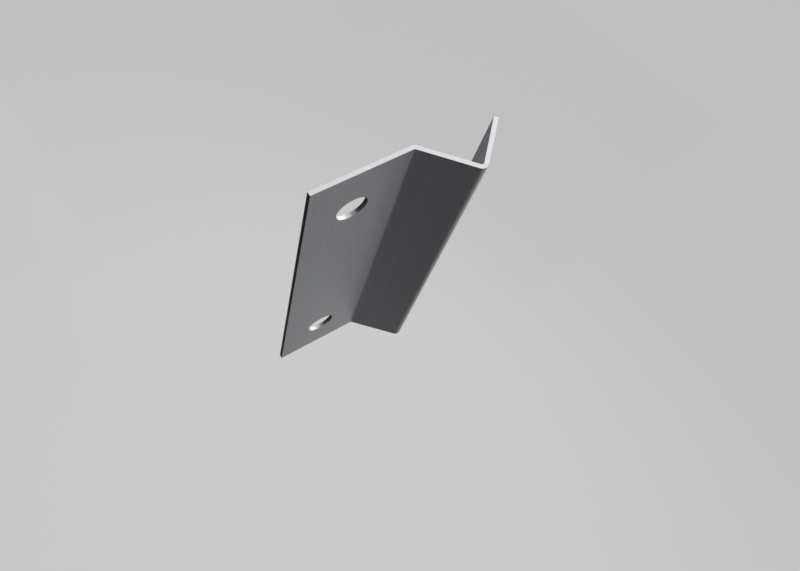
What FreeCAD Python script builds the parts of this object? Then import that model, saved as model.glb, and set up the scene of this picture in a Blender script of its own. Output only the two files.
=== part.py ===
import FreeCAD, Part
import math
import os

import Sketcher

# Picture frame wall bracket, folded from one strip of sheet metal.
# Z runs along the strip, X across the screw plate from its free edge to the web, and the
# plate's wall face lies at Y = 0 with its front face towards -Y. The origin is the middle
# of the row of screw holes, on the wall face.

# Driving dimensions in millimetres and degrees, with what each one sets
DIMENSIONS = {
    "bracket_length": (68.5, "length of the strip along Z"),
    "sheet_thickness": (0.75, "thickness of the sheet"),
    "inside_bend_radius": (0.45, "radius on the inner side of both bends"),
    "plate_flat": (16.85, "flat width of the screw plate, free edge to first bend"),
    "web_flat": (9.45, "flat width of the web, between the two bends"),
    "lip_flat": (8.4, "flat width of the lip, second bend to tip"),
    "web_bend_angle": (45.0, "turn of the first bend, out of the plate towards the front"),
    "lip_bend_angle": (90.0, "turn of the second bend, back towards the wall"),
    "hole_diameter": (5.5, "clearance hole for a wall screw"),
    "hole_edge_distance": (8.2, "hole centre to the plate's free edge"),
    "hole_end_distance": (10.25, "centre of the first and last hole to the strip's ends"),
    "hole_count": (2, "number of screw holes in the row"),
}

# The distance between the first and last hole centres, as an expression on the sheet
HOLE_ROW_SPAN = "Dimensions.bracket_length - 2 * Dimensions.hole_end_distance"

# How a sketch numbers the ends and the centre of its geometry, and its own two axes
START, END, CENTRE = range(1, 4)
X_AXIS, Y_AXIS = range(-1, -3, -1)


def make_sheet(doc):
    """Write the driving dimensions into a spreadsheet, one aliased cell each."""
    sheet = doc.addObject("Spreadsheet::Sheet", "Dimensions")
    for row, (alias, (value, note)) in enumerate(DIMENSIONS.items(), start=1):
        sheet.set(f"A{row}", alias)
        sheet.set(f"B{row}", str(value))
        sheet.set(f"C{row}", note)
        sheet.setAlias(f"B{row}", alias)
    doc.recompute()
    return sheet


def origin_feature(body, role):
    """Return the body's origin plane or axis that has this role."""
    return next(item for item in body.Origin.OriginFeatures if item.Role == role)


def sketch_on(body, role, name):
    """Start a sketch on one of the body's origin planes."""
    sketch = body.newObject("Sketcher::SketchObject", name)
    sketch.AttachmentSupport = [(origin_feature(body, role), "")]
    sketch.MapMode = "FlatFace"
    return sketch


def dimension(sketch, name, expression, *constraint):
    """Add a named dimension to a sketch and bind it to an expression on the sheet."""
    index = sketch.addConstraint(Sketcher.Constraint(*constraint))
    sketch.renameConstraint(index, name)
    sketch.setExpression(f"Constraints.{name}", expression)


def walk_side(sheet, start, wall_side):
    """Walk along one side of the sheet, flat by flat and bend by bend.

    The wall side runs round the outside of the web bend and the inside of the lip bend, and
    the front side the other way round. Returns the lines and arcs, and the point at the tip.
    """
    inner = sheet.inside_bend_radius
    outer = inner + sheet.sheet_thickness
    web_radius, lip_radius = (outer, inner) if wall_side else (inner, outer)
    steps = (
        ("flat", sheet.plate_flat),
        ("bend", -sheet.web_bend_angle, web_radius),
        ("flat", sheet.web_flat),
        ("bend", sheet.lip_bend_angle, lip_radius),
        ("flat", sheet.lip_flat),
    )
    point, heading, edges = start, 0.0, []
    for step in steps:
        if step[0] == "flat":
            end = point + FreeCAD.Vector(math.cos(heading), math.sin(heading), 0) * step[1]
            edges.append(Part.LineSegment(point, end))
        else:
            turn, radius = math.radians(step[1]), step[2]
            left = math.copysign(1, turn)
            normal = FreeCAD.Vector(-math.sin(heading), math.cos(heading), 0) * left
            centre = point + normal * radius
            first = heading - left * math.pi / 2
            heading += turn
            last = heading - left * math.pi / 2
            end = centre + FreeCAD.Vector(math.cos(last), math.sin(last), 0) * radius
            circle = Part.Circle(centre, FreeCAD.Vector(0, 0, 1), radius)
            edges.append(Part.ArcOfCircle(circle, min(first, last), max(first, last)))
        point = end
    return edges, point


def draw_section(body, sheet):
    """Sketch the folded section on the XY plane, fully dimensioned."""
    sketch = sketch_on(body, "XY_Plane", "FoldedSection")
    wall_corner = FreeCAD.Vector(-sheet.hole_edge_distance, 0, 0)
    front_corner = wall_corner - FreeCAD.Vector(0, sheet.sheet_thickness, 0)
    wall_edges, wall_tip = walk_side(sheet, wall_corner, wall_side=True)
    front_edges, front_tip = walk_side(sheet, front_corner, wall_side=False)

    # One side after the other, in the order plate, web bend, web, lip bend, lip
    wall = [sketch.addGeometry(edge, False) for edge in wall_edges]
    front = [sketch.addGeometry(edge, False) for edge in front_edges]
    tip = sketch.addGeometry(Part.LineSegment(wall_tip, front_tip), False)
    free_edge = sketch.addGeometry(Part.LineSegment(front_corner, wall_corner), False)

    # Every flat runs smoothly into its bends. An arc starts at its clockwise end, so the web
    # bend is met at its far end, and the lip bend at its start
    for plate, web_bend, web, lip_bend, lip in (wall, front):
        sketch.addConstraint([
            Sketcher.Constraint("Tangent", plate, END, web_bend, END),
            Sketcher.Constraint("Tangent", web_bend, START, web, START),
            Sketcher.Constraint("Tangent", web, END, lip_bend, START),
            Sketcher.Constraint("Tangent", lip_bend, END, lip, START),
        ])
    wall_plate, wall_web_bend, wall_web, wall_lip_bend, wall_lip = wall
    front_plate, front_web_bend, front_web, front_lip_bend, front_lip = front

    # Both sides of a bend share one centre, which keeps the sheet one thickness all round
    sketch.addConstraint([
        Sketcher.Constraint("Coincident", wall_web_bend, CENTRE, front_web_bend, CENTRE),
        Sketcher.Constraint("Coincident", wall_lip_bend, CENTRE, front_lip_bend, CENTRE),
        Sketcher.Constraint("Coincident", wall_lip, END, tip, START),
        Sketcher.Constraint("Coincident", tip, END, front_lip, END),
        Sketcher.Constraint("Coincident", front_plate, START, free_edge, START),
        Sketcher.Constraint("Coincident", free_edge, END, wall_plate, START),
        Sketcher.Constraint("Perpendicular", tip, wall_lip),
        Sketcher.Constraint("Vertical", free_edge),
        Sketcher.Constraint("Horizontal", wall_plate),
        Sketcher.Constraint("PointOnObject", wall_plate, START, X_AXIS),
    ])
    dimension(sketch, "Thickness", "Dimensions.sheet_thickness",
              "Distance", free_edge, sheet.sheet_thickness)
    dimension(sketch, "WebBendInside", "Dimensions.inside_bend_radius",
              "Radius", front_web_bend, sheet.inside_bend_radius)
    dimension(sketch, "LipBendInside", "Dimensions.inside_bend_radius",
              "Radius", wall_lip_bend, sheet.inside_bend_radius)
    dimension(sketch, "PlateFlat", "Dimensions.plate_flat",
              "Distance", wall_plate, sheet.plate_flat)
    dimension(sketch, "WebFlat", "Dimensions.web_flat",
              "Distance", wall_web, sheet.web_flat)
    dimension(sketch, "LipFlat", "Dimensions.lip_flat",
              "Distance", wall_lip, sheet.lip_flat)
    dimension(sketch, "FreeEdgePlace", "Dimensions.hole_edge_distance",
              "DistanceX", wall_plate, START, X_AXIS, START, sheet.hole_edge_distance)
    dimension(sketch, "WebTurn", "Dimensions.web_bend_angle * 1 deg",
              "Angle", wall_web, wall_plate, math.radians(sheet.web_bend_angle))
    dimension(sketch, "LipTurn", "Dimensions.lip_bend_angle * 1 deg",
              "Angle", wall_web, wall_lip, math.radians(sheet.lip_bend_angle))
    return sketch


def fold_strip(body, section):
    """Extrude the section along Z, half of the length to each side of the origin."""
    strip = body.newObject("PartDesign::Pad", "FoldedStrip")
    strip.Profile = section
    strip.SideType = "Symmetric"
    strip.setExpression("Length", "Dimensions.bracket_length")
    return strip


def draw_hole_place(body, sheet):
    """Sketch the lowest screw hole on the plate's wall face."""
    sketch = sketch_on(body, "XZ_Plane", "LowestHole")
    drop = sheet.bracket_length / 2 - sheet.hole_end_distance
    rim = Part.Circle(FreeCAD.Vector(0, -drop, 0), FreeCAD.Vector(0, 0, 1), sheet.hole_diameter / 2)
    circle = sketch.addGeometry(rim, False)
    sketch.addConstraint(Sketcher.Constraint("PointOnObject", circle, CENTRE, Y_AXIS))
    dimension(sketch, "HoleDiameter", "Dimensions.hole_diameter",
              "Diameter", circle, sheet.hole_diameter)
    dimension(sketch, "HoleDrop", f"({HOLE_ROW_SPAN}) / 2",
              "DistanceY", circle, CENTRE, X_AXIS, START, drop)
    return sketch


def drill_row(doc, body, place):
    """Drill the lowest hole from the wall face out to the front, and repeat it up the row."""
    hole = body.newObject("PartDesign::Hole", "ScrewHole")
    hole.Profile = place
    hole.DepthType = "ThroughAll"
    hole.Reversed = True
    hole.setExpression("Diameter", "Dimensions.hole_diameter")
    doc.recompute()

    row = body.newObject("PartDesign::LinearPattern", "HoleRow")
    row.Originals = [hole]
    row.Direction = (origin_feature(body, "Z_Axis"), [""])
    row.Mode = "Extent"
    row.setExpression("Length", HOLE_ROW_SPAN)
    row.setExpression("Occurrences", "Dimensions.hole_count")
    body.Tip = row
    return row


def make_bracket(doc, sheet):
    """Build the bracket as one body and return it."""
    body = doc.addObject("PartDesign::Body", "Bracket")
    body.Label = "bracket"
    section = draw_section(body, sheet)
    fold_strip(body, section)
    doc.recompute()
    drill_row(doc, body, draw_hole_place(body, sheet))
    return body


def check(doc, pieces):
    """Stop if any object failed to compute or a piece is not one sound solid."""
    for item in doc.Objects:
        if "Invalid" in item.State or "Error" in item.State:
            raise RuntimeError(f"{item.Name} did not compute: {item.State}")
    for piece in pieces:
        if piece.Shape.isNull() or not piece.Shape.isValid() or len(piece.Shape.Solids) != 1:
            raise RuntimeError(f"{piece.Label} is not one sound solid")


def main():
    """Model the bracket, check it and write it out."""
    doc = FreeCAD.newDocument("WallBracket")
    sheet = make_sheet(doc)
    pieces = [make_bracket(doc, sheet)]
    doc.recompute()
    check(doc, pieces)
    os.makedirs("parts", exist_ok=True)
    for piece in pieces:
        piece.Shape.exportStep(f"parts/{piece.Label}.step")
        box = piece.Shape.BoundBox
        print(f"{piece.Label}: {box.XLength:.2f} x {box.YLength:.2f} x {box.ZLength:.2f} mm,",
              f"volume {piece.Shape.Volume:.1f} mm3, {len(piece.Shape.Faces)} faces")


main()
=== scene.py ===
"""Dresses the folded sheet-metal wall bracket and lights it on a plain pale floor."""

import logging
import math
from dataclasses import dataclass
from enum import Enum
from typing import Iterable, Optional, Union

import bpy
from mathutils import Euler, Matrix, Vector


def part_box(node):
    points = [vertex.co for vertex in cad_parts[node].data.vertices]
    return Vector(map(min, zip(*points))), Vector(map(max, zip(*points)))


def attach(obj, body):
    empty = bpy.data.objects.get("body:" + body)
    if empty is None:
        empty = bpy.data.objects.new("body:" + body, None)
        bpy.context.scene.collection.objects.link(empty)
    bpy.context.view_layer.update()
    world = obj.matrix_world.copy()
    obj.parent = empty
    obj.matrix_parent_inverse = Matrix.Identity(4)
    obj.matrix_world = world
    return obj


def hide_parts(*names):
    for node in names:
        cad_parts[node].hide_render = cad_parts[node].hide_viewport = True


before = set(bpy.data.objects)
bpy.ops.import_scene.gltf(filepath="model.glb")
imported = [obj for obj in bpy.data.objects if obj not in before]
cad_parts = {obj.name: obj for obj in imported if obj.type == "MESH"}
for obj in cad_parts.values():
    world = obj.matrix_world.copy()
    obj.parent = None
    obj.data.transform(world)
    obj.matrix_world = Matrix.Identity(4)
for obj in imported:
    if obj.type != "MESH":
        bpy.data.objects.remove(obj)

LOG = logging.getLogger("bracket")
MM = 0.001
NODE = "bracket"
BODY = "root"

# What the strip's points and faces carry from the flat blank to the finishes
BLANK_COORDINATES = "blank_coordinates"
CUT_FACE = "cut_face"
HOLE_FACE = "hole_face"

Feed = Union[bpy.types.NodeSocket, bpy.types.ID, float, int, bool, str, tuple]

# The kind of socket that takes each kind of value
SOCKET_KINDS = {
    float: "NodeSocketFloat",
    int: "NodeSocketInt",
    bpy.types.Material: "NodeSocketMaterial",
}


class Turn(Enum):
    """Which way a bend turns, seen from above, walking from the plate's free edge."""

    TO_FRONT = -1.0
    TO_WALL = 1.0


class NodeSheet:
    """One node tree with short calls to add nodes, feed their sockets and do sums."""

    def __init__(self, tree: bpy.types.NodeTree) -> None:
        """Start on a tree.

        Args:
            tree: The node tree that gets the nodes.
        """
        self.tree = tree

    def takes(self, name: str, kind: str, value: Optional[Feed] = None) -> None:
        """Add a named input to the group.

        Args:
            name: The input's name.
            kind: The socket type's name.
            value: Its default, if it has one.
        """
        socket = self.tree.interface.new_socket(name=name, in_out="INPUT", socket_type=kind)
        if value is not None:
            socket.default_value = value

    def takes_each(self, inputs: dict[str, Feed]) -> None:
        """Add a named input of the right kind for each value."""
        for name, value in inputs.items():
            self.takes(name, SOCKET_KINDS[type(value)], value)

    def gives(self, name: str, kind: str) -> None:
        """Add a named output to the group."""
        self.tree.interface.new_socket(name=name, in_out="OUTPUT", socket_type=kind)

    def add(self, kind: str, feeds: Optional[dict[Union[int, str], Feed]] = None,
            **settings: Feed) -> bpy.types.Node:
        """Add a node.

        Args:
            kind: The node's type name.
            feeds: What goes into each input, by the input's name or number.
            settings: The node's own properties.

        Returns:
            The new node.
        """
        node = self.tree.nodes.new(kind)
        for name, value in settings.items():
            setattr(node, name, value)
        for key, value in (feeds or {}).items():
            self.feed(node.inputs[key], value)
        return node

    def feed(self, target: bpy.types.NodeSocket, value: Feed) -> None:
        """Link a socket to an input, or set the input's own value.

        Args:
            target: The input.
            value: The socket or the value.
        """
        if isinstance(value, bpy.types.NodeSocket):
            self.tree.links.new(value, target)
        else:
            target.default_value = value

    def math(self, operation: str, *values: Feed) -> bpy.types.NodeSocket:
        """Do one sum on numbers and return the result's socket."""
        return self.add("ShaderNodeMath", dict(enumerate(values)), operation=operation).outputs[0]

    def vector(self, operation: str, *values: Feed) -> bpy.types.NodeSocket:
        """Do one sum on vectors and return the result's socket."""
        feeds = dict(enumerate(values))
        return self.add("ShaderNodeVectorMath", feeds, operation=operation).outputs[0]

    def point(self, x: Feed = 0.0, y: Feed = 0.0, z: Feed = 0.0) -> bpy.types.NodeSocket:
        """Join three numbers into a vector and return its socket."""
        return self.add("ShaderNodeCombineXYZ", {0: x, 1: y, 2: z}).outputs[0]

    def parts(self, vector: Feed) -> bpy.types.bpy_prop_collection:
        """Split a vector and return the sockets of its three numbers."""
        return self.add("ShaderNodeSeparateXYZ", {0: vector}).outputs

    def ramp(self, value: Feed, low: Feed, high: Feed, start: Feed, end: Feed) -> bpy.types.NodeSocket:
        """Map a range of numbers onto another, kept within it.

        Args:
            value: The number to map.
            low: Where the range starts.
            high: Where it ends.
            start: The result at its start.
            end: The result at its end.

        Returns:
            The mapped number's socket.
        """
        feeds = {0: value, 1: low, 2: high, 3: start, 4: end}
        return self.add("ShaderNodeMapRange", feeds, clamp=True).outputs[0]

    def blend(self, share: Feed, first: Feed, second: Feed) -> bpy.types.NodeSocket:
        """Mix two colours.

        Args:
            share: The second colour's share.
            first: The first colour.
            second: The second colour.

        Returns:
            The mixed colour's socket.
        """
        node = self.add("ShaderNodeMix", data_type="RGBA")
        sockets = [socket for socket in node.inputs if socket.enabled]
        for socket, value in zip(sockets, (share, first, second)):
            self.feed(socket, value)
        return next(socket for socket in node.outputs if socket.enabled)

    def keep(self, geometry: Feed, name: str, domain: str, kind: str,
             value: Feed) -> bpy.types.NodeSocket:
        """Store a value on the geometry under a name.

        Args:
            geometry: The geometry.
            name: The attribute's name.
            domain: What carries it, POINT or FACE.
            kind: The attribute's data type.
            value: The value.

        Returns:
            The geometry's socket.
        """
        node = self.add("GeometryNodeStoreNamedAttribute", {"Geometry": geometry, "Name": name},
                        data_type=kind, domain=domain)
        self.feed(next(i for i in node.inputs if i.name == "Value" and i.enabled), value)
        return node.outputs[0]

    def kept(self, name: str, kind: str) -> bpy.types.NodeSocket:
        """Read a value that the geometry carries under a name."""
        node = self.add("GeometryNodeInputNamedAttribute", {"Name": name}, data_type=kind)
        return next(o for o in node.outputs if o.name == "Attribute" and o.enabled)


@dataclass(frozen=True)
class BrushedGrain:
    """Shader node group: fine parallel scratches that follow the sheet."""

    wide_scale: float = 1.0
    fine_scale: float = 3.7
    fine_share: float = 0.45
    detail: float = 2.0
    roughness: float = 0.6
    tone_low: float = 0.3
    tone_high: float = 0.7

    def group(self) -> bpy.types.NodeTree:
        """Build the group, which puts out a tone and a height, both from 0 to 1.

        Returns:
            The group.
        """
        group = bpy.data.node_groups.new("brushed_grain", "ShaderNodeTree")
        sheet = NodeSheet(group)
        sheet.takes("Vector", "NodeSocketVector")
        sheet.takes("Stretch", "NodeSocketVector", (1.0, 1.0, 1.0))
        sheet.gives("Tone", "NodeSocketFloat")
        sheet.gives("Height", "NodeSocketFloat")
        entry = sheet.add("NodeGroupInput").outputs
        scaled = sheet.vector("MULTIPLY", entry["Vector"], entry["Stretch"])
        wide = self._noise(sheet, scaled, self.wide_scale)
        fine = self._noise(sheet, scaled, self.fine_scale)
        mixed = sheet.math("ADD", sheet.math("MULTIPLY", wide, 1 - self.fine_share),
                           sheet.math("MULTIPLY", fine, self.fine_share))
        tone = sheet.ramp(mixed, self.tone_low, self.tone_high, 0.0, 1.0)
        sheet.add("NodeGroupOutput", {"Tone": tone, "Height": fine})
        return group

    def _noise(self, sheet: NodeSheet, place: bpy.types.NodeSocket,
               scale: float) -> bpy.types.NodeSocket:
        """Add one layer of stretched noise.

        Args:
            sheet: The tree being built.
            place: The stretched coordinates.
            scale: How fine the layer is.

        Returns:
            The layer's value.
        """
        feeds = {"Vector": place, "Scale": scale, "Detail": self.detail, "Roughness": self.roughness}
        return sheet.add("ShaderNodeTexNoise", feeds).outputs["Fac"]


@dataclass(frozen=True)
class MetalFinish:
    """How one kind of metal surface looks.

    The stretch says how many scratches lie in a metre across, through and along the blank,
    and the smear how far the brushing draws a highlight out.
    """

    name: str
    colour: tuple[float, float, float]
    tone_swing: float
    roughness: float
    roughness_swing: float
    stretch: tuple[float, float, float]
    bump: float
    scratch_depth: float = 0.01 * MM
    smear: float = 0.0

    def material(self, grain: bpy.types.NodeTree) -> bpy.types.Material:
        """Build the finish's material.

        Args:
            grain: The shared scratch pattern.

        Returns:
            The material.
        """
        made = bpy.data.materials.new(self.name)
        made.use_nodes = True
        made.node_tree.nodes.clear()
        sheet = NodeSheet(made.node_tree)
        place = sheet.add("ShaderNodeAttribute", attribute_name=BLANK_COORDINATES).outputs["Vector"]
        scratches = sheet.add("ShaderNodeGroup", node_tree=grain)
        sheet.feed(scratches.inputs["Vector"], place)
        sheet.feed(scratches.inputs["Stretch"], self.stretch)
        tone, height = scratches.outputs["Tone"], scratches.outputs["Height"]
        dark, light = (tuple(part * swing for part in self.colour) + (1.0,)
                       for swing in (1 - self.tone_swing, 1 + self.tone_swing))
        rough = sheet.ramp(tone, 0.0, 1.0, self.roughness - self.roughness_swing,
                           self.roughness + self.roughness_swing)
        bump = sheet.add("ShaderNodeBump", {
            "Strength": self.bump, "Distance": self.scratch_depth, "Height": height,
        }).outputs[0]
        surface = sheet.add("ShaderNodeBsdfPrincipled", {
            "Base Color": sheet.blend(tone, dark, light),
            "Metallic": 1.0,
            "Roughness": rough,
            "Normal": bump,
            "Anisotropic": self.smear,
        })
        sheet.add("ShaderNodeOutputMaterial", {"Surface": surface.outputs[0]})
        return made


SHEET_FACE = MetalFinish(
    name="brushed_sheet", colour=(0.64, 0.654, 0.687), tone_swing=0.08, roughness=0.46,
    roughness_swing=0.02, stretch=(2100.0, 2100.0, 4.0), bump=0.12, smear=0.75,
)
CUT_EDGE = MetalFinish(
    name="sheared_edge", colour=(0.34, 0.345, 0.36), tone_swing=0.02, roughness=0.24,
    roughness_swing=0.01, stretch=(120.0, 5200.0, 120.0), bump=0.02,
)
HOLE_WALL = MetalFinish(
    name="punched_hole", colour=(0.30, 0.304, 0.314), tone_swing=0.05, roughness=0.32,
    roughness_swing=0.03, stretch=(120.0, 5200.0, 120.0), bump=0.10,
)


@dataclass
class FoldedStrip:
    """The bracket's one piece: a flat blank, drilled and folded along two lines.

    Its sizes are in metres and radians. The steps, sides and segments say how finely a round
    stretch is divided.
    """

    length: float
    thickness: float = 0.75 * MM
    inside_radius: float = 0.45 * MM
    plate_flat: float = 16.85 * MM
    web_flat: float = 9.45 * MM
    lip_flat: float = 8.4 * MM
    web_turn: float = math.radians(45.0)
    lip_turn: float = math.radians(90.0)
    hole_diameter: float = 5.5 * MM
    hole_edge_distance: float = 8.2 * MM
    hole_end_distance: float = 10.25 * MM
    hole_count: int = 2
    hole_sides: int = 96
    web_bend_steps: int = 7
    lip_bend_steps: int = 11
    bend_margin: float = 0.05 * MM
    weld_within: float = 0.0005 * MM
    edge_break: float = 0.02 * MM
    edge_break_segments: int = 2
    break_above: float = math.radians(60.0)
    smooth_below: float = math.radians(15.0)

    @property
    def middle_radius(self) -> float:
        """Radius of the sheet's middle in a bend."""
        return self.inside_radius + self.thickness / 2

    @property
    def lip_bend_start(self) -> float:
        """Where the lip bend starts on the flat blank."""
        return self.plate_flat + self.middle_radius * self.web_turn + self.web_flat

    def spans(self) -> list[tuple[str, int, float]]:
        """Divide the flat blank across its width, from the plate's free edge to the lip's tip.

        Returns:
            For each stretch, its name, its number of steps and its whole width. A narrow step
            lies on each side of a bend, so that the flats shade as flat.
        """
        margin = ("Bend margin", 1, self.bend_margin)
        return [
            ("Plate", 1, self.plate_flat - self.bend_margin), margin,
            ("Web bend", self.web_bend_steps, self.middle_radius * self.web_turn), margin,
            ("Web", 1, self.web_flat - 2 * self.bend_margin), margin,
            ("Lip bend", self.lip_bend_steps, self.middle_radius * self.lip_turn), margin,
            ("Lip", 1, self.lip_flat - self.bend_margin),
        ]

    def build(self) -> bpy.types.Object:
        """Cut, fold and dress the strip.

        Returns:
            The finished piece, riding on the bracket's body.
        """
        grain = BrushedGrain().group()
        blank = BlankTree(self, SHEET_FACE.material(grain))
        fold = FoldTree(self, CUT_EDGE.material(grain), HOLE_WALL.material(grain))
        raw = bpy.data.objects.new("raw_blank", bpy.data.meshes.new("raw_blank"))
        bpy.context.scene.collection.objects.link(raw)
        self._nodes_modifier(raw, blank.group, blank.inputs)
        self._break_edges(raw)
        self._nodes_modifier(raw, fold.group, fold.inputs)
        graph = bpy.context.evaluated_depsgraph_get()
        mesh = bpy.data.meshes.new_from_object(raw.evaluated_get(graph))
        bpy.data.objects.remove(raw)
        # The shapes that nodes start from bring an empty material slot, which no face uses
        mesh.materials.pop(index=mesh.materials[:].index(None))
        mesh.name = "folded_strip"
        piece = bpy.data.objects.new("folded_strip", mesh)
        bpy.context.scene.collection.objects.link(piece)
        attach(piece, BODY)
        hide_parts(NODE)
        return piece

    @staticmethod
    def _nodes_modifier(piece: bpy.types.Object, group: bpy.types.NodeTree,
                        inputs: dict[str, Feed]) -> None:
        """Put a geometry node tree on a piece and set its inputs.

        Args:
            piece: The piece.
            group: The tree.
            inputs: The tree's inputs by name.
        """
        modifier = piece.modifiers.new(group.name, "NODES")
        modifier.node_group = group
        for item in group.interface.items_tree:
            if item.in_out == "INPUT" and item.name in inputs:
                modifier[item.identifier] = inputs[item.name]

    def _break_edges(self, piece: bpy.types.Object) -> None:
        """Take the sharpness off every sheared edge and hole rim.

        Args:
            piece: The flat blank.
        """
        bevel = piece.modifiers.new("edge_break", "BEVEL")
        bevel.width = self.edge_break
        bevel.segments = self.edge_break_segments
        bevel.limit_method = "ANGLE"
        bevel.angle_limit = self.break_above


class BlankTree:
    """Geometry nodes that cut the flat blank with its row of screw holes."""

    # Rows of points along the strip, one at each end
    ROWS = 2
    # The drill's length in thicknesses of the sheet, so that it reaches out on both sides
    DRILL_REACH = 3.0

    def __init__(self, strip: FoldedStrip, sheet_face: bpy.types.Material) -> None:
        """Build the tree.

        Args:
            strip: The strip. Its sizes are the tree's inputs, and its numbers of steps and
                sides shape the tree itself.
            sheet_face: Material of the rolled faces.
        """
        self.strip = strip
        self.inputs = {
            "Length": strip.length,
            "Thickness": strip.thickness,
            "Hole diameter": strip.hole_diameter,
            "Hole edge distance": strip.hole_edge_distance,
            "Hole end distance": strip.hole_end_distance,
            "Hole count": strip.hole_count,
            "Weld within": strip.weld_within,
            **{name: width for name, _, width in strip.spans()},
            "Sheet face": sheet_face,
        }
        self.group = bpy.data.node_groups.new("cut_blank", "GeometryNodeTree")
        self.sheet = NodeSheet(self.group)
        self.sheet.takes_each(self.inputs)
        self.sheet.gives("Geometry", "NodeSocketGeometry")
        self.entry = self.sheet.add("NodeGroupInput").outputs
        drilled = self._drill(self._plank())
        real = self.sheet.add("GeometryNodeRealizeInstances", {"Geometry": drilled}).outputs[0]
        dressed = self.sheet.add("GeometryNodeSetMaterial", {
            "Geometry": real, "Material": self.entry["Sheet face"],
        }).outputs[0]
        self.sheet.add("NodeGroupOutput", {"Geometry": dressed})

    def _plank(self) -> bpy.types.NodeSocket:
        """Lay out the undrilled blank: X across, Y through the sheet, Z along.

        Returns:
            The undrilled blank.
        """
        sheet, entry, spans = self.sheet, self.entry, self.strip.spans()
        index = sheet.add("GeometryNodeInputIndex").outputs[0]
        column = sheet.math("FLOOR", sheet.math("DIVIDE", index, float(self.ROWS)))
        across, first = 0.0, 0
        for name, steps, _ in spans:
            last = first + steps
            reach = sheet.ramp(column, float(first), float(last), 0.0, entry[name])
            across, first = sheet.math("ADD", across, reach), last
        row = sheet.math("MODULO", index, float(self.ROWS))
        along = sheet.math("MULTIPLY", sheet.math("SUBTRACT", row, 0.5), entry["Length"])
        grid = sheet.add("GeometryNodeMeshGrid", {"Vertices X": first + 1, "Vertices Y": self.ROWS})
        front = sheet.add("GeometryNodeSetPosition", {
            "Geometry": grid.outputs["Mesh"],
            "Position": sheet.point(across, 0.0, along),
        }).outputs[0]
        raised = sheet.add("GeometryNodeExtrudeMesh", {
            "Mesh": front,
            "Offset": (0.0, -1.0, 0.0),
            "Offset Scale": entry["Thickness"],
            "Individual": False,
        }).outputs["Mesh"]
        wall = sheet.add("GeometryNodeFlipFaces", {"Mesh": front}).outputs[0]
        joined = sheet.add("GeometryNodeJoinGeometry", {0: raised})
        sheet.feed(joined.inputs[0], wall)
        return sheet.add("GeometryNodeMergeByDistance", {
            "Geometry": joined.outputs[0], "Distance": entry["Weld within"],
        }).outputs[0]

    def _drill(self, plank: bpy.types.NodeSocket) -> bpy.types.NodeSocket:
        """Cut the row of round screw holes.

        Args:
            plank: The undrilled blank.

        Returns:
            The drilled blank.
        """
        sheet, entry = self.sheet, self.entry
        half_length = sheet.math("DIVIDE", entry["Length"], 2.0)
        half_span = sheet.math("SUBTRACT", half_length, entry["Hole end distance"])
        middle = sheet.math("DIVIDE", entry["Thickness"], -2.0)
        edge, bottom = entry["Hole edge distance"], sheet.math("MULTIPLY", half_span, -1.0)
        row = sheet.add("GeometryNodeMeshLine", {
            "Count": entry["Hole count"],
            "Start Location": sheet.point(edge, middle, bottom),
            "Offset": sheet.point(edge, middle, half_span),
        }, mode="END_POINTS").outputs[0]
        drill = sheet.add("GeometryNodeMeshCylinder", {
            "Vertices": self.strip.hole_sides,
            "Radius": sheet.math("DIVIDE", entry["Hole diameter"], 2.0),
            "Depth": sheet.math("MULTIPLY", entry["Thickness"], self.DRILL_REACH),
        }).outputs["Mesh"]
        drills = sheet.add("GeometryNodeInstanceOnPoints", {
            "Points": row, "Instance": drill, "Rotation": (math.pi / 2, 0.0, 0.0),
        }).outputs[0]
        drills = sheet.add("GeometryNodeRealizeInstances", {"Geometry": drills}).outputs[0]
        drills = sheet.keep(drills, HOLE_FACE, "FACE", "FLOAT", 1.0)
        return sheet.add("GeometryNodeMeshBoolean", {"Mesh 1": plank, "Mesh 2": drills},
                         operation="DIFFERENCE", solver="EXACT").outputs["Mesh"]


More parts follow.
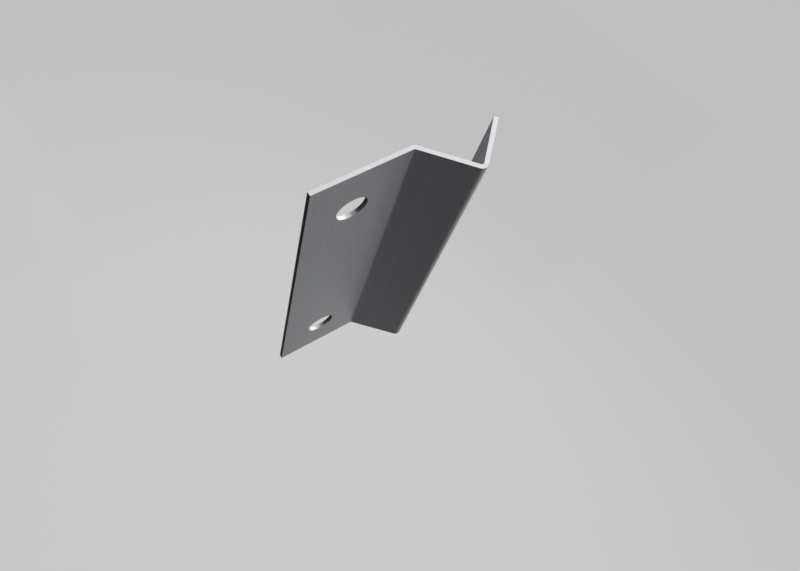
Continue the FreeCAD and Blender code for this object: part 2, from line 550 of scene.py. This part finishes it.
class FoldTree:
    """Geometry nodes that fold the flat blank along its two bend lines."""

    # A face whose normal goes less than this far through the sheet is a cut one
    CUT_BELOW = 0.7

    def __init__(self, strip: FoldedStrip, cut_face: bpy.types.Material,
                 hole_wall: bpy.types.Material) -> None:
        """Build the tree.

        Args:
            strip: The strip, whose sizes become the tree's inputs.
            cut_face: Material of the sheared edges and ends.
            hole_wall: Material of the holes' walls.
        """
        self.inputs = {
            "Middle depth": -strip.thickness / 2,
            "Bend radius": strip.middle_radius,
            "Web bend start": strip.plate_flat,
            "Web turn": strip.web_turn,
            "Lip bend start": strip.lip_bend_start,
            "Lip turn": strip.lip_turn,
            "Free edge distance": strip.hole_edge_distance,
            "Smooth below": strip.smooth_below,
            "Cut face": cut_face,
            "Hole wall": hole_wall,
        }
        self.group = bpy.data.node_groups.new("fold_blank", "GeometryNodeTree")
        self.sheet = NodeSheet(self.group)
        self.sheet.takes("Geometry", "NodeSocketGeometry")
        self.sheet.takes_each(self.inputs)
        self.sheet.gives("Geometry", "NodeSocketGeometry")
        self.entry = self.sheet.add("NodeGroupInput").outputs
        marked = self._mark(self.entry["Geometry"])
        folded = self._fold(marked, "Lip bend start", "Lip turn", Turn.TO_WALL)
        folded = self._fold(folded, "Web bend start", "Web turn", Turn.TO_FRONT)
        self.sheet.add("NodeGroupOutput", {"Geometry": self._finish(folded)})

    def _mark(self, blank: bpy.types.NodeSocket) -> bpy.types.NodeSocket:
        """Keep each point's place on the flat blank, and which faces are cut ones.

        Args:
            blank: The flat blank.

        Returns:
            The marked blank.
        """
        sheet = self.sheet
        place = sheet.add("GeometryNodeInputPosition").outputs[0]
        placed = sheet.keep(blank, BLANK_COORDINATES, "POINT", "FLOAT_VECTOR", place)
        through = sheet.parts(sheet.add("GeometryNodeInputNormal").outputs["Normal"])[1]
        is_cut = sheet.math("LESS_THAN", sheet.math("ABSOLUTE", through), self.CUT_BELOW)
        return sheet.keep(placed, CUT_FACE, "FACE", "FLOAT", is_cut)

    def _fold(self, strip: bpy.types.NodeSocket, start: str, turn: str,
              way: Turn) -> bpy.types.NodeSocket:
        """Roll what lies past a bend line round the bend.

        Args:
            strip: The strip so far, flat up to this bend.
            start: Name of the input that says where the bend starts on the blank.
            turn: Name of the input that says how far it turns.
            way: Which way it turns.

        Returns:
            The folded strip.
        """
        sheet, entry, radius = self.sheet, self.entry, self.entry["Bend radius"]
        place = sheet.parts(sheet.kept(BLANK_COORDINATES, "FLOAT_VECTOR"))
        past = sheet.math("SUBTRACT", place[0], entry[start])
        angle = sheet.math("MAXIMUM", sheet.math("DIVIDE", past, radius), 0.0)
        angle = sheet.math("MINIMUM", angle, entry[turn])
        rolled = sheet.math("ADD", entry[start], sheet.math("MULTIPLY", radius, angle))
        before = sheet.point(rolled, entry["Middle depth"])
        forward = sheet.math("MULTIPLY", radius, sheet.math("SINE", angle))
        rise = sheet.math("SUBTRACT", 1.0, sheet.math("COSINE", angle))
        sideways = sheet.math("MULTIPLY", rise, sheet.math("MULTIPLY", radius, way.value))
        after = sheet.point(sheet.math("ADD", entry[start], forward),
                            sheet.math("ADD", entry["Middle depth"], sideways))
        turned = sheet.add("ShaderNodeVectorRotate", {
            "Vector": sheet.add("GeometryNodeInputPosition").outputs[0],
            "Center": before,
            "Angle": sheet.math("MULTIPLY", angle, way.value),
        }, rotation_type="Z_AXIS").outputs[0]
        moved = sheet.vector("ADD", turned, sheet.vector("SUBTRACT", after, before))
        return sheet.add("GeometryNodeSetPosition", {"Geometry": strip, "Position": moved}).outputs[0]

    def _finish(self, strip: bpy.types.NodeSocket) -> bpy.types.NodeSocket:
        """Move the strip to its place, smooth its bends and dress its cut faces.

        Args:
            strip: The folded strip.

        Returns:
            The finished strip.
        """
        sheet, entry = self.sheet, self.entry
        placed = sheet.add("GeometryNodeSetPosition", {
            "Geometry": strip,
            "Offset": sheet.point(sheet.math("MULTIPLY", entry["Free edge distance"], -1.0)),
        }).outputs[0]
        smooth = sheet.add("GeometryNodeSetShadeSmooth", {
            "Geometry": placed, "Shade Smooth": True,
        }, domain="FACE").outputs[0]
        angle = sheet.add("GeometryNodeInputMeshEdgeAngle").outputs["Unsigned Angle"]
        sharp = sheet.math("GREATER_THAN", angle, entry["Smooth below"])
        crisp = sheet.add("GeometryNodeSetShadeSmooth", {
            "Geometry": smooth, "Selection": sharp, "Shade Smooth": False,
        }, domain="EDGE").outputs[0]
        dressed = sheet.add("GeometryNodeRealizeInstances", {"Geometry": crisp}).outputs[0]
        for mark, finish in ((CUT_FACE, "Cut face"), (HOLE_FACE, "Hole wall")):
            dressed = sheet.add("GeometryNodeSetMaterial", {
                "Geometry": dressed, "Selection": sheet.kept(mark, "FLOAT"), "Material": entry[finish],
            }).outputs[0]
        return dressed


@dataclass(frozen=True)
class PlainFinish:
    """A matt grey finish for the stage."""

    name: str
    shade: float
    roughness: float = 0.9

    def material(self) -> bpy.types.Material:
        """Build the finish's material.

        Returns:
            The material.
        """
        made = bpy.data.materials.new(self.name)
        made.use_nodes = True
        made.node_tree.nodes.clear()
        sheet = NodeSheet(made.node_tree)
        surface = sheet.add("ShaderNodeBsdfPrincipled", {
            "Base Color": (self.shade, self.shade, self.shade, 1.0), "Roughness": self.roughness,
        })
        sheet.add("ShaderNodeOutputMaterial", {"Surface": surface.outputs[0]})
        return made


@dataclass(frozen=True)
class SoftBox:
    """A flat lamp that faces a point. Its place is measured from that point."""

    name: str
    place: tuple[float, float, float]
    width: float
    height: float
    radiance: float

    def build(self, target: Vector) -> None:
        """Hang the lamp.

        Args:
            target: The point that it faces.
        """
        lamp = bpy.data.lights.new(self.name, "AREA")
        lamp.shape = "RECTANGLE"
        lamp.size, lamp.size_y = self.width, self.height
        lamp.energy = self.radiance * math.pi * self.width * self.height
        holder = bpy.data.objects.new(self.name, lamp)
        holder.location = target + Vector(self.place)
        holder.rotation_euler = (-Vector(self.place)).to_track_quat("-Z", "Y").to_euler()
        holder.visible_camera = False
        bpy.context.scene.collection.objects.link(holder)


@dataclass(frozen=True)
class DarkCard:
    """A dark card on the floor that only reflections show. Its corners are in X and Y."""

    name: str
    shade: float
    corners: tuple[tuple[float, float], ...]


LAMPS = (
    SoftBox("top_box", (0.20, 0.12, 0.40), width=0.34, height=0.30, radiance=1.28),
    SoftBox("right_box", (0.255, 0.08, 0.066), width=0.18, height=0.36, radiance=3.0),
)

# How far the cards reach to the left, the near side and the far side, in metres
LEFT, NEAR, FAR = -0.45, -0.95, 0.45

FLOOR_CARDS = (
    DarkCard("side_card", 0.01, (
        (LEFT, -0.02), (-0.04, -0.02), (-0.04, 0.20), (-0.02, FAR), (LEFT, FAR),
    )),
    DarkCard("front_card", 0.045, (
        (LEFT, NEAR), (0.70, NEAR), (0.70, -0.56), (0.28, -0.44), (0.15, -0.23), (LEFT, -0.23),
    )),
    DarkCard("foot_card", 0.09, (
        (LEFT, -0.23), (0.15, -0.23), (0.12, -0.16), (-0.10, -0.02), (LEFT, -0.02),
    )),
    DarkCard("back_card", 0.02, (
        (0.0, 0.29), (0.14, 0.26), (0.25, 0.17), (0.29, 0.06), (0.60, 0.12), (0.46, 0.50), (0.0, 0.62),
    )),
)


@dataclass
class Studio:
    """The pale floor, the dark cards, the soft lamps and the camera.

    Its sizes are in metres. The camera was fitted to the photograph: its place, lens and
    sensor are in millimetres, and its turn in degrees.
    """

    low: Vector
    high: Vector
    floor_side: float = 12.0
    floor_drop: float = 0.45
    floor_shade: float = 0.63
    room_light: float = 0.80
    card_lift: float = 1 * MM
    standing_top: float = 0.75
    standing_shade: float = 0.05
    camera_place: tuple[float, float, float] = (-42.409, -43.524, 129.164)
    camera_turn: tuple[float, float, float] = (23.7267, -10.7368, -32.5923)
    camera_near: float = 1 * MM
    lens: float = 36.54
    sensor: float = 36.0

    @property
    def floor_level(self) -> float:
        """How high the floor lies."""
        return self.low.z - self.floor_drop

    def build(self) -> None:
        """Set up the whole studio around the bracket's lowest and highest corners."""
        self._floor()
        self._cards()
        self._world()
        for lamp in LAMPS:
            lamp.build((self.low + self.high) / 2)
        self._camera()

    @staticmethod
    def _sheet(name: str, corners: list[tuple[float, float, float]],
               finish: PlainFinish) -> bpy.types.Object:
        """Make a flat stage piece.

        Args:
            name: The piece's name.
            corners: Its corners, going round.
            finish: Its finish.

        Returns:
            The stage piece.
        """
        mesh = bpy.data.meshes.new(name)
        mesh.from_pydata(corners, [], [tuple(range(len(corners)))])
        mesh.materials.append(finish.material())
        piece = bpy.data.objects.new(name, mesh)
        bpy.context.scene.collection.objects.link(piece)
        return piece

    def _floor(self) -> None:
        """Lay the floor below the bracket."""
        half = self.floor_side / 2
        sides = ((-half, -half), (half, -half), (half, half), (-half, half))
        corners = [(x, y, self.floor_level) for x, y in sides]
        self._sheet("floor", corners, PlainFinish("pale_floor", self.floor_shade))

    def _cards(self) -> None:
        """Lay the dark cards on the floor, and stand one at the far left."""
        base, top = self.floor_level + self.card_lift, self.standing_top
        for card in FLOOR_CARDS:
            self._card(card.name, [(x, y, base) for x, y in card.corners], card.shade)
        standing = [(LEFT, NEAR, base), (LEFT, FAR, base), (LEFT, FAR, top), (LEFT, NEAR, top)]
        self._card("standing_card", standing, self.standing_shade)

    def _card(self, name: str, corners: list[tuple[float, float, float]], shade: float) -> None:
        """Make a card that only reflections show.

        Args:
            name: The card's name.
            corners: Its corners, going round.
            shade: How pale it is.
        """
        card = self._sheet(name, corners, PlainFinish(name, shade))
        card.visible_camera = False
        card.visible_diffuse = False
        card.visible_transmission = False
        card.visible_shadow = False

    def _world(self) -> None:
        """Fill the room with a soft white light."""
        world = bpy.data.worlds.new("room")
        bpy.context.scene.world = world
        world.use_nodes = True
        back = world.node_tree.nodes["Background"]
        back.inputs["Color"].default_value = (1.0, 1.0, 1.0, 1.0)
        back.inputs["Strength"].default_value = self.room_light

    def _camera(self) -> None:
        """Place the camera where the photograph was taken from."""
        camera = bpy.data.cameras.new("view")
        camera.sensor_fit = "HORIZONTAL"
        camera.sensor_width = self.sensor
        camera.lens = self.lens
        camera.clip_start = self.camera_near
        holder = bpy.data.objects.new("view", camera)
        holder.location = Vector(self.camera_place) * MM
        holder.rotation_euler = Euler([math.radians(turn) for turn in self.camera_turn], "XYZ")
        bpy.context.scene.collection.objects.link(holder)
        bpy.context.scene.camera = holder


def report(pieces: Iterable[bpy.types.Object]) -> None:
    """Log each piece's size, and its faces by material.

    Args:
        pieces: The finished pieces.
    """
    for piece in pieces:
        size = ", ".join(f"{side / MM:.2f}" for side in piece.dimensions)
        LOG.info("%s: %s mm, %d faces", piece.name, size, len(piece.data.polygons))
        shares = [0] * len(piece.data.materials)
        for face in piece.data.polygons:
            shares[face.material_index] += 1
        for material, share in zip(piece.data.materials, shares):
            LOG.info("%s: %d faces", material.name, share)


def main() -> None:
    """Build the bracket and its studio, and log the strip's size and faces."""
    logging.basicConfig(level=logging.INFO, format="%(message)s")
    bpy.context.scene.view_settings.view_transform = "Standard"
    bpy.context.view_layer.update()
    low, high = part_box(NODE)
    strip = FoldedStrip(length=high.z - low.z).build()
    bpy.context.view_layer.update()
    report([strip])
    Studio(low, high).build()


if __name__ == "__main__":
    main()
